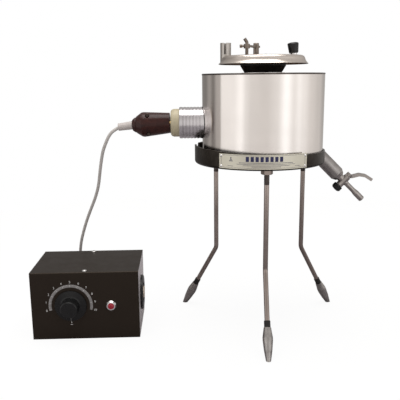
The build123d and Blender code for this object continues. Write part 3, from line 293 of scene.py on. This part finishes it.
# paints
paint("ring_enamel", (0.0075, 0.0058, 0.0043), 0.3, worn=(0.04, 0.033, 0.027), shine=0.16,
      tint=(1.0, 0.84, 0.70))
paint("case_black", (0.015, 0.0115, 0.0090), 0.36, 900, 0.10, 0.05, tint=(1.0, 0.80, 0.64))

# plastics, rubber, porcelain and prints
moulded("sleeve_black", (0.014, 0.012, 0.011), 0.5, shine=0.3)
moulded("porcelain", (0.42, 0.37, 0.25), 0.5, 0.1, 140, strength=0.1)
moulded("bakelite", (0.032, 0.0085, 0.0065), 0.3, 0.35, 90, coat=0.08, shine=0.2)
moulded("black_plastic", (0.006, 0.006, 0.0062), 0.28, 0.15, coat=0.08, shine=0.3)
moulded("collar_black", (0.011, 0.0095, 0.008), 0.5, 0.2, strength=0.12, shine=0.3)
moulded("boot_rubber", (0.46, 0.42, 0.40), 0.55, 0.06, 120)
moulded("cord_grey", (0.50, 0.475, 0.45), 0.45, 0.05, 120, strength=0.02)
moulded("washer_fibre", (0.02, 0.018, 0.017), 0.7, shine=0.3)
moulded("inlet_cream", (0.62, 0.53, 0.43), 0.5, 0.08, 140)
moulded("wire_pvc", (0.12, 0.03, 0.02), 0.5)
moulded("pointer_grey", (0.07, 0.068, 0.066), 0.45, 0.1)
moulded("scale_print", (0.62, 0.61, 0.60), 0.5, 0.05)
moulded("band_print", (0.20, 0.19, 0.187), 0.5, 0.12)
moulded("ink", (0.024, 0.026, 0.085), 0.55, 0.15, shine=0.3)
clear_red("lens_red")

# a CAD node takes the look of its slot, except these
OWN_LOOKS = {
    "knob_pointer": "pointer_grey", "drain_pipe": "tinned", "thermometer_tube": "tube_satin",
    "heater_shroud": "shroud_chrome", "connector_screws": "screw_dark",
    "valve_post": "arm_metal", "valve_arm": "arm_metal", "valve_clip": "arm_metal",
}
for node_name, node in NODES.items():
    node.data.materials.clear()
    node.data.materials.append(LOOKS[OWN_LOOKS.get(node_name, SLOT_OF[node_name])])


# --- shapes -----------------------------------------------------------------------------------------
def shape():
    """An empty shape: its points in millimetres and its faces."""
    return [], []


def mesh_of(name, made):
    """A mesh in metres from a shape in millimetres."""
    mesh = bpy.data.meshes.new(name)
    mesh.from_pydata([tuple(c * MM for c in v) for v in made[0]], [], made[1])
    return mesh


def shade(mesh, angle=35):
    """Smooth shading, with sharp edges where faces turn by more than the angle."""
    mesh.shade_smooth()
    mesh.set_sharp_from_angle(angle=math.radians(angle))


def piece(name, made, look, body, smooth=35):
    """A piece that rides on a body; its slot has the look's name."""
    mesh = mesh_of(name, made)
    mesh.validate()
    shade(mesh, smooth)
    mesh.materials.append(LOOKS[look])
    target = link(name, mesh)
    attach(target, body)
    return target


def polar(angle):
    """A level unit vector, in degrees round from X."""
    a = math.radians(angle)
    return Vector((math.cos(a), math.sin(a), 0))


def square_to(direction):
    """Two unit vectors square to a unit vector."""
    side = UP if abs(direction.z) < 0.9 else Vector((0, 1, 0))
    across = (side - direction * side.dot(direction)).normalized()
    return across, direction.cross(across)


def add_turned(made, place, direction, profile, steps=96, closed=False):
    """Adds a turned shape: the profile's points are distances along the axis and radii."""
    vertices, faces = made
    across, other = square_to(direction)
    rings = []
    for along, radius in profile:
        first = len(vertices)
        if radius <= 1e-6:
            vertices.append(place + direction * along)
            rings.append([first] * steps)
            continue
        for step in range(steps):
            a = 2 * math.pi * step / steps
            vertices.append(place + direction * along + (across * math.cos(a) + other * math.sin(a)) * radius)
        rings.append([first + step for step in range(steps)])
    pairs = list(zip(rings, rings[1:]))
    if closed:
        pairs.append((rings[-1], rings[0]))
    for ring, after in pairs:
        for step in range(steps):
            following = (step + 1) % steps
            corners = [ring[step], ring[following], after[following], after[step]]
            loop = [c for i, c in enumerate(corners) if c != corners[i - 1]]
            if len(loop) > 2:
                faces.append(loop)
    return made


def add_bar(made, place, direction, start, end, radius, steps):
    """Adds a plain round bar between two distances along its axis."""
    return add_turned(made, place, direction, [(start, 0), (start, radius), (end, radius), (end, 0)], steps)


def add_box(made, centre, x, y, z):
    """Adds a block given by three half-edge vectors."""
    vertices, faces = made
    first = len(vertices)
    for i in (-1, 1):
        for j in (-1, 1):
            for k in (-1, 1):
                vertices.append(centre + x * i + y * j + z * k)
    for loop in ((0, 1, 3, 2), (4, 6, 7, 5), (0, 4, 5, 1), (2, 3, 7, 6), (0, 2, 6, 4), (1, 5, 7, 3)):
        faces.append([first + v for v in loop])
    return made


def add_strip(made, inner, outer):
    """Adds a strip between two rows of points, as one sheet."""
    vertices, faces = made
    first = len(vertices)
    count = len(inner)
    vertices.extend(inner)
    vertices.extend(outer)
    for i in range(count - 1):
        faces.append([first + i, first + count + i, first + count + i + 1, first + i + 1])
    return made


def add_text(made, text, size, place, across, upward):
    """Adds plain figures lying on a surface."""
    vertices, faces = made
    letters = bpy.data.curves.new("figures", "FONT")
    letters.body = text
    letters.size = size
    letters.align_x = "CENTER"
    letters.align_y = "CENTER"
    letters.resolution_u = 4
    holder = bpy.data.objects.new("figures", letters)
    mesh = bpy.data.meshes.new_from_object(holder)
    first = len(vertices)
    vertices.extend(place + across * v.co.x + upward * v.co.y for v in mesh.vertices)
    faces.extend([first + v for v in face.vertices] for face in mesh.polygons)
    bpy.data.objects.remove(holder)


def rounded(profile, radius, steps):
    """The same profile with its inner corners eased."""
    made = [profile[0]]
    for before, here, after in zip(profile, profile[1:], profile[2:]):
        a, b, c = Vector(before), Vector(here), Vector(after)
        reach = min(radius, (b - a).length * 0.45, (c - b).length * 0.45)
        start = b + (a - b).normalized() * reach
        end = b + (c - b).normalized() * reach
        for step in range(steps + 1):
            t = step / steps
            point = start * (1 - t) ** 2 + b * 2 * t * (1 - t) + end * t ** 2
            made.append((point.x, point.y))
    made.append(profile[-1])
    return made


def cut(target, shapes):
    """Cuts shapes out of a piece, and leaves no modifier behind."""
    cutters = [link("cutter", mesh_of("cutter", made)) for made in shapes]
    for cutter in cutters:
        modifier = target.modifiers.new("cut", "BOOLEAN")
        modifier.operation = "DIFFERENCE"
        modifier.solver = "EXACT"
        modifier.object = cutter
    bpy.context.view_layer.update()
    evaluated = target.evaluated_get(bpy.context.evaluated_depsgraph_get())
    mesh = bpy.data.meshes.new_from_object(evaluated)
    target.modifiers.clear()
    target.data = mesh
    shade(mesh)
    for cutter in cutters:
        bpy.data.objects.remove(cutter)


# --- the box: dial, screws and mains inlet ----------------------------------------------------------
CASE_PLACE = Vector((-236.4, -60.1, 0))    # the foot of its front panel, at the middle
CASE_TOP = 92.2
ALONG = polar(2.0)
INWARD = polar(92.0)


def on_case(along, depth, height):
    """A place on the box, from the middle of its front panel's foot."""
    return CASE_PLACE + ALONG * along + INWARD * depth + UP * height


DIAL = on_case(-18.9, 0, 46.9)
PRINT_LIFT = 0.2                  # how far the dial's print stands off the panel
BAND_START, BAND_END = 193.5, -10.5
BAND_INNER, BAND_OUTER = 25.2, 29.0
BAND_STEPS = 72
SCALE_START = 192.0               # the angle of the figure 0
FIGURE_TURN = -20.4
LAST_FIGURE = 10
TICKS_PER_FIGURE = 5
TICK_TOP = 28.7
FIGURE_RADIUS = 32.3
FIGURE_SIZE = 4.4


def dial_way(angle):
    """A unit vector on the front panel, in degrees round from the right."""
    a = math.radians(angle)
    return ALONG * math.cos(a) + UP * math.sin(a)


def on_dial(angle, radius, lift):
    return DIAL - INWARD * lift + dial_way(angle) * radius


def band_row(radius, lift):
    turn = (BAND_END - BAND_START) / BAND_STEPS
    return [on_dial(BAND_START + turn * i, radius, lift) for i in range(BAND_STEPS + 1)]


# a grey band with an edge all along, fine graduations on it, figures outside it and an off mark below
band = add_strip(shape(), band_row(BAND_INNER, PRINT_LIFT), band_row(BAND_OUTER, PRINT_LIFT))
add_strip(band, band_row(BAND_INNER, 0), band_row(BAND_INNER, PRINT_LIFT))
add_strip(band, band_row(BAND_OUTER, PRINT_LIFT), band_row(BAND_OUTER, 0))
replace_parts(piece("dial_band", band, "band_print", "base"), "dial_scale")

ticks = shape()
for step in range(LAST_FIGURE * TICKS_PER_FIGURE + 1):
    long_tick = step % TICKS_PER_FIGURE == 0
    half_length, half_width = (1.55, 0.2) if long_tick else (0.8, 0.1)
    out = dial_way(SCALE_START + FIGURE_TURN * step / TICKS_PER_FIGURE)
    middle = DIAL - INWARD * (PRINT_LIFT + 0.02) + out * (TICK_TOP - half_length)
    add_box(ticks, middle, out * half_length, out.cross(INWARD) * half_width, INWARD * 0.04)
for below, half_width, half_height in ((23.6, 0.4, 1.1), (26.6, 1.5, 0.35)):
    add_box(ticks, DIAL - INWARD * 0.1 - UP * below, ALONG * half_width, UP * half_height, INWARD * 0.1)
piece("dial_ticks", ticks, "scale_print", "base")

figures = shape()
for number in range(LAST_FIGURE + 1):
    place = on_dial(SCALE_START + FIGURE_TURN * number, FIGURE_RADIUS, PRINT_LIFT)
    add_text(figures, str(number), FIGURE_SIZE, place, ALONG, UP)
piece("dial_figures", figures, "scale_print", "base")

# slotted screws; a head's points are heights and radii, its shank included
CASE_SCREW = [(-7, 0), (-7, 1.6), (0, 1.6), (0, 3.1), (0.35, 3.2), (0.8, 3.0), (1.25, 2.4), (1.6, 1.2),
              (1.6, 0)]
SHIELD_TOP = 366
SHIELD_SCREW_CIRCLE = 30.6
SHIELD_SCREW = [(-5.1, 0), (-5.1, 1.2), (0, 1.2), (0, 2.2), (0.25, 2.3), (0.55, 2.1), (0.9, 1.5), (1.1, 0.8),
                (1.1, 0)]


def slotted_screw(name, place, head, slot_turn, look, replaced):
    """An upright screw on the body of the node that it replaces."""
    screw = piece(name, add_turned(shape(), place, UP, head, 48), look, NODE_BODY[replaced])
    top = max(height for height, _ in head)
    width = max(radius for _, radius in head)
    cut(screw, [add_box(shape(), place + UP * top, polar(slot_turn) * (width * 2),
                        polar(slot_turn + 90) * width * 0.13, UP * (top * 0.55))])
    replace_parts(screw, replaced)


for number, (depth, slot_turn) in enumerate(((6.5, 20), (92.0, 75))):
    slotted_screw(f"case_screw_{number}", on_case(0, depth, CASE_TOP), CASE_SCREW, slot_turn, "steel",
                  "case_screws")
for number, (angle, slot_turn) in enumerate(((0, 35), (95, 110), (180, 70), (270, 10))):
    place = polar(angle) * SHIELD_SCREW_CIRCLE + UP * SHIELD_TOP
    slotted_screw(f"shield_screw_{number}", place, SHIELD_SCREW, slot_turn, "chrome", "shield_screws")

# mains inlet: black housing, pale core with three sunk pins
INLET = on_case(70.7, 50.0, 45.0)
PIN_CIRCLE = 4.6
HOUSING = [(-18, 0), (-18, 17), (0, 17), (0, 24), (2.2, 24), (3.2, 22.5), (3.2, 14), (-12, 14), (-12, 0)]
CORE = [(-12, 0), (-12, 14), (-0.3, 14), (0, 13.7), (0, 8), (3.7, 8), (4, 7.7), (4, 0)]
PIN = [(-4, 0), (-4, 1.1), (1.7, 1.1), (2, 0.8), (2, 0)]
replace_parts(piece("inlet_housing", add_turned(shape(), INLET, ALONG, HOUSING), "black_plastic", "base"),
            "mains_inlet")
core = piece("inlet_core", add_turned(shape(), INLET, ALONG, CORE, 72), "inlet_cream", "base")
pins = shape()
holes = []
for turn in (90, 210, 330):
    a = math.radians(turn)
    spot = INLET + (INWARD * math.cos(a) + UP * math.sin(a)) * PIN_CIRCLE
    add_turned(pins, spot, ALONG, PIN, 24)
    holes.append(add_bar(shape(), spot, ALONG, -4, 5, 1.5, 24))
cut(core, holes)
piece("inlet_pins", pins, "brass", "base")


# --- the stand: name plate, leg nuts and threads ----------------------------------------------------
PLATE_AXIS = Vector((-3.8, 0, 0))    # the stand's ring is round this line
PLATE_FACE = 87.36                   # the printed face's radius
LEG_CIRCLE = 71.1
LEG_ANGLES = (-91.08, 28.92, 148.92)
LEG_RADIUS = 3.2
COLLAR_NUT_BOTTOM = 221
LOCK_NUT_BOTTOM = 230
THREAD_BOTTOM = 208
THREAD_PITCH = 1.05
THREAD_ROOT, THREAD_CREST = 3.22, 3.42

# the plate's print, as bars bent with the plate: start and end angle, low and high edge
BORDER = ((-128, -56, 230.6, 230.85), (-128, -56, 245.8, 246.05), (-128, -127.8, 230.6, 246.0),
          (-56.2, -56, 230.6, 246.0))
TITLE = [(-106.5 + 3.9 * n, -103.9 + 3.9 * n, 238.5, 244.7) for n in range(8)]
FINE_PRINT = ((-112, -68, 236.9, 237.4), (-114, -66, 235.2, 235.6), (-109, -71, 233.6, 234.0),
              (-102, -78, 232.2, 232.6), (-122, -117, 232.6, 233.0), (-66, -61, 232.6, 233.0))
EMBLEM = ((-120.6, -117.4, 238.6, 239.4), (-120.0, -118.0, 240.0, 240.8), (-119.4, -118.6, 241.4, 243.6))


def plate_row(start, end, height):
    steps = max(2, int(abs(end - start)))
    return [PLATE_AXIS + UP * height + polar(start + (end - start) * i / steps) * PLATE_FACE
            for i in range(steps + 1)]


rules = shape()
for start, end, low, high in (*BORDER, *TITLE, *FINE_PRINT, *EMBLEM):
    add_strip(rules, plate_row(start, end, low), plate_row(start, end, high))
piece("plate_rulings", rules, "ink", "base")


def add_nut(made, place, corner, height, bore, steps=72):
    """Adds an upright hexagon nut; its corners meet a cone, so each flat ends in an arc."""
    vertices, faces = made
    flat = corner * math.cos(math.radians(30))
    crown = flat * 0.97
    starts = []
    for ring in range(6):
        starts.append(len(vertices))
        for step in range(steps):
            a = 2 * math.pi * step / steps
            edge = flat / math.cos(a % (math.pi / 3) - math.pi / 6)
            drop = (edge - crown) * 0.55
            radius, lift = ((bore, 0), (crown, 0), (edge, drop), (edge, height - drop), (crown, height),
                            (bore, height))[ring]
            vertices.append(place + UP * lift + polar(math.degrees(a)) * radius)
    for low, high in zip(starts, starts[1:]):
        for step in range(steps):
            following = (step + 1) % steps
            faces.append([low + step, low + following, high + following, high + step])


THREAD = [(THREAD_BOTTOM, LEG_RADIUS)]    # heights and radii: ridges up to the collar nut
for turn in range(12):
    low = THREAD_BOTTOM + 0.3 + turn * THREAD_PITCH
    THREAD += [(low, THREAD_ROOT), (low + 0.35, THREAD_CREST), (low + 0.55, THREAD_CREST),
               (low + 0.9, THREAD_ROOT)]
THREAD.append((COLLAR_NUT_BOTTOM, LEG_RADIUS))
nuts = shape()
threads = shape()
for angle in LEG_ANGLES:
    leg_place = polar(angle) * LEG_CIRCLE
    add_nut(nuts, leg_place + UP * COLLAR_NUT_BOTTOM, 7.5, 6.0, LEG_RADIUS)
    add_nut(nuts, leg_place + UP * LOCK_NUT_BOTTOM, 5.8, 5.0, LEG_RADIUS)
    add_turned(threads, leg_place, UP, THREAD, 40)
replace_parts(piece("collar_nuts", nuts, "leg_steel", "base"), "leg_nuts")
piece("leg_threads", threads, "thread_dark", "base", smooth=80)


# --- the bath: drain nut, casing and rim ------------------------------------------------------------
BATH_BOTTOM, BATH_TOP = 230, 341.5
BATH_OUTSIDE, BATH_INSIDE = 80, 79
DRAIN_START = Vector((81.5, 0, 229.9))
DRAIN_WAY = Vector((1, 0, -1)).normalized()
DRAIN_HOLE = 10.4                 # a radius, as the next
HEATER_HOLE = 13.1
HEATER_PLACE = UP * 280
HEATER_WAY = Vector((-1, 0, 0))

# the drain cock's knurled nut, domed at its end
NUT_SEAT = DRAIN_START + DRAIN_WAY * 42.7
NUT_AXIS = Vector((-1, 0, -1)).normalized()
KNURL_LOW, KNURL_HIGH = 8.9, 14.9
KNURL_DEPTH = 0.045               # as a share of the radius
NUT = [(8.4, 2.2), (8.4, 5.6), (9.2, 6.5), (14.2, 6.5), (16.2, 4.6), (16.8, 0)]
knurled = add_turned(shape(), NUT_SEAT, NUT_AXIS, rounded(NUT, 0.9, 5))
for number, point in enumerate(knurled[0]):
    reach = point - NUT_SEAT
    level = reach.dot(NUT_AXIS)
    if KNURL_LOW < level < KNURL_HIGH and number % 4 in (0, 1):
        knurled[0][number] = point - (reach - NUT_AXIS * level) * KNURL_DEPTH
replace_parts(piece("drain_knurled_nut", knurled, "black_plastic", NODE_BODY["cock_nut"]),
            "cock_nut")

# the casing as one even shell, open where the heater and the drain pass through
WALL = [(BATH_BOTTOM, BATH_INSIDE), (BATH_BOTTOM, BATH_OUTSIDE), (BATH_TOP, BATH_OUTSIDE),
        (BATH_TOP, BATH_INSIDE)]
casing = piece("bath_casing", add_turned(shape(), Vector(), UP, WALL, 256, closed=True), "jacket_aluminium",
               "base")
cut(casing, [add_bar(shape(), HEATER_PLACE, HEATER_WAY, 60, 100, HEATER_HOLE, 64),
             add_bar(shape(), DRAIN_START, DRAIN_WAY, -25, 20, DRAIN_HOLE, 64)])
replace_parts(casing, "bath_jacket")

# the rolled rim, darkened all over as painted shade for the shadow along the bath's top edge
RIM_TOP = 343.5
RIM_OUTSIDE, RIM_INSIDE = 80.4, 75.6
RIM = [(BATH_TOP, RIM_INSIDE), (BATH_TOP, RIM_OUTSIDE), (RIM_TOP, RIM_OUTSIDE), (RIM_TOP, RIM_INSIDE),
       (BATH_TOP, RIM_INSIDE)]
bead = add_turned(shape(), Vector(), UP, rounded(RIM, 0.9, 6), 192)
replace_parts(piece("bath_bead", bead, "rim_painted_shade", "base"), "bath_rim")


# --- stage ------------------------------------------------------------------------------------------
# upright bands for the metal to show: degrees round from the front towards +X, brightness and warmth
PANELS = [
    (-170, 0.26, 0.96),
    (-141, 0.22, 0.95),
    (-124, 0.38, 0.95),
    (-111, 0.22, 0.94),
    (-100, 0.50, 0.95),
    (-89, 1.10, 0.98),
    (-62, 1.12, 0.98),
    (-46, 1.35, 0.99),
    (-36, 1.02, 0.98),
    (-27, 0.90, 0.97),
    (0, 0.86, 0.965),
    (20, 1.00, 0.975),
    (38, 1.48, 1.0),
    (54, 1.10, 0.98),
    (64, 1.25, 0.99),
    (75, 1.10, 0.98),
    (95, 0.84, 0.965),
    (122, 0.70, 0.96),
    (144, 0.46, 0.96),
    (170, 0.44, 0.96),
]
FRONT = 0.25                      # where the front lies on the gradient's turn
ABOVE = (0.62, 0.60, 0.585)
BELOW = (0.26, 0.245, 0.265)
WHITE = (1, 1, 1)


def make_world():
    """Plain pale surroundings with the upright bands, darker below; plain white behind the object."""
    world = bpy.data.worlds.new("studio")
    tree = Tree(world)
    direction = tree.add("ShaderNodeTexCoord").outputs["Generated"]
    around = tree.add("ShaderNodeTexGradient", {"Vector": direction}, gradient_type="RADIAL")
    bands = tree.add("ShaderNodeValToRGB", {"Fac": around.outputs["Fac"]})
    bands.color_ramp.interpolation = "EASE"
    elements = bands.color_ramp.elements
    while len(elements) < len(PANELS):
        elements.new(0.5)
    ordered = sorted(((FRONT + turn / 360) % 1.0, level, warmth) for turn, level, warmth in PANELS)
    for element, (position, level, warmth) in zip(elements, ordered):
        element.position = position
        element.color = (level, level * warmth, level * warmth ** 1.8, 1)
    height = tree.add("ShaderNodeSeparateXYZ", {"Vector": direction}).outputs["Z"]
    over = tree.mix(tree.remap(height, 0.25, 0.75), bands.outputs["Color"], ABOVE)
    under = tree.mix(tree.remap(height, -0.3, -0.6), over, BELOW)
    seen = tree.add("ShaderNodeLightPath").outputs["Is Camera Ray"]
    tree.give(tree.nodes["Background"], {"Color": tree.mix(seen, under, WHITE)})
    bpy.context.scene.world = world


def make_floor():
    """A floor that looks like white paper with faint shadows, and is duller in the metal's reflections."""
    mesh = mesh_of("floor", add_turned(shape(), UP * -0.2, UP, [(0, 0), (0, 900)]))
    floor = link("floor", mesh)
    material = bpy.data.materials.new("floor")
    tree = Tree(material)
    dull = tree.nodes["Principled BSDF"]
    tree.give(dull, {"Base Color": (0.30, 0.285, 0.30, 1), "Roughness": 0.9})
    glow = tree.add("ShaderNodeEmission")
    matt = tree.add("ShaderNodeBsdfDiffuse", {"Color": (0.9, 0.9, 0.9, 1)})
    paper = tree.add("ShaderNodeMixShader", {"Fac": 0.08, 1: glow.outputs[0], 2: matt.outputs[0]})
    seen = tree.add("ShaderNodeLightPath").outputs["Is Camera Ray"]
    pick = tree.add("ShaderNodeMixShader", {"Fac": seen, 1: dull.outputs[0], 2: paper.outputs[0]})
    tree.give(tree.nodes["Material Output"], {"Surface": pick.outputs[0]})
    mesh.materials.append(material)


def make_light():
    """One soft light overhead."""
    data = bpy.data.lights.new("overhead", "AREA")
    data.shape = "RECTANGLE"
    data.size, data.size_y = 1.6, 1.3
    data.energy = 26
    data.color = (1, 0.985, 0.97)
    light = link("overhead", data)
    place, target = Vector((-0.1, -0.1, 1.9)), Vector((-0.1, 0, 0.1))
    light.location = place
    light.rotation_mode = "QUATERNION"
    light.rotation_quaternion = (target - place).to_track_quat("-Z", "Y")


make_world()
make_floor()
make_light()
bpy.context.scene.view_settings.view_transform = "Standard"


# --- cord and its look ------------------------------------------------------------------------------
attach(cord, "base")
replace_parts(cord, "heater_cord")
cord.data.materials.append(LOOKS["cord_grey"])
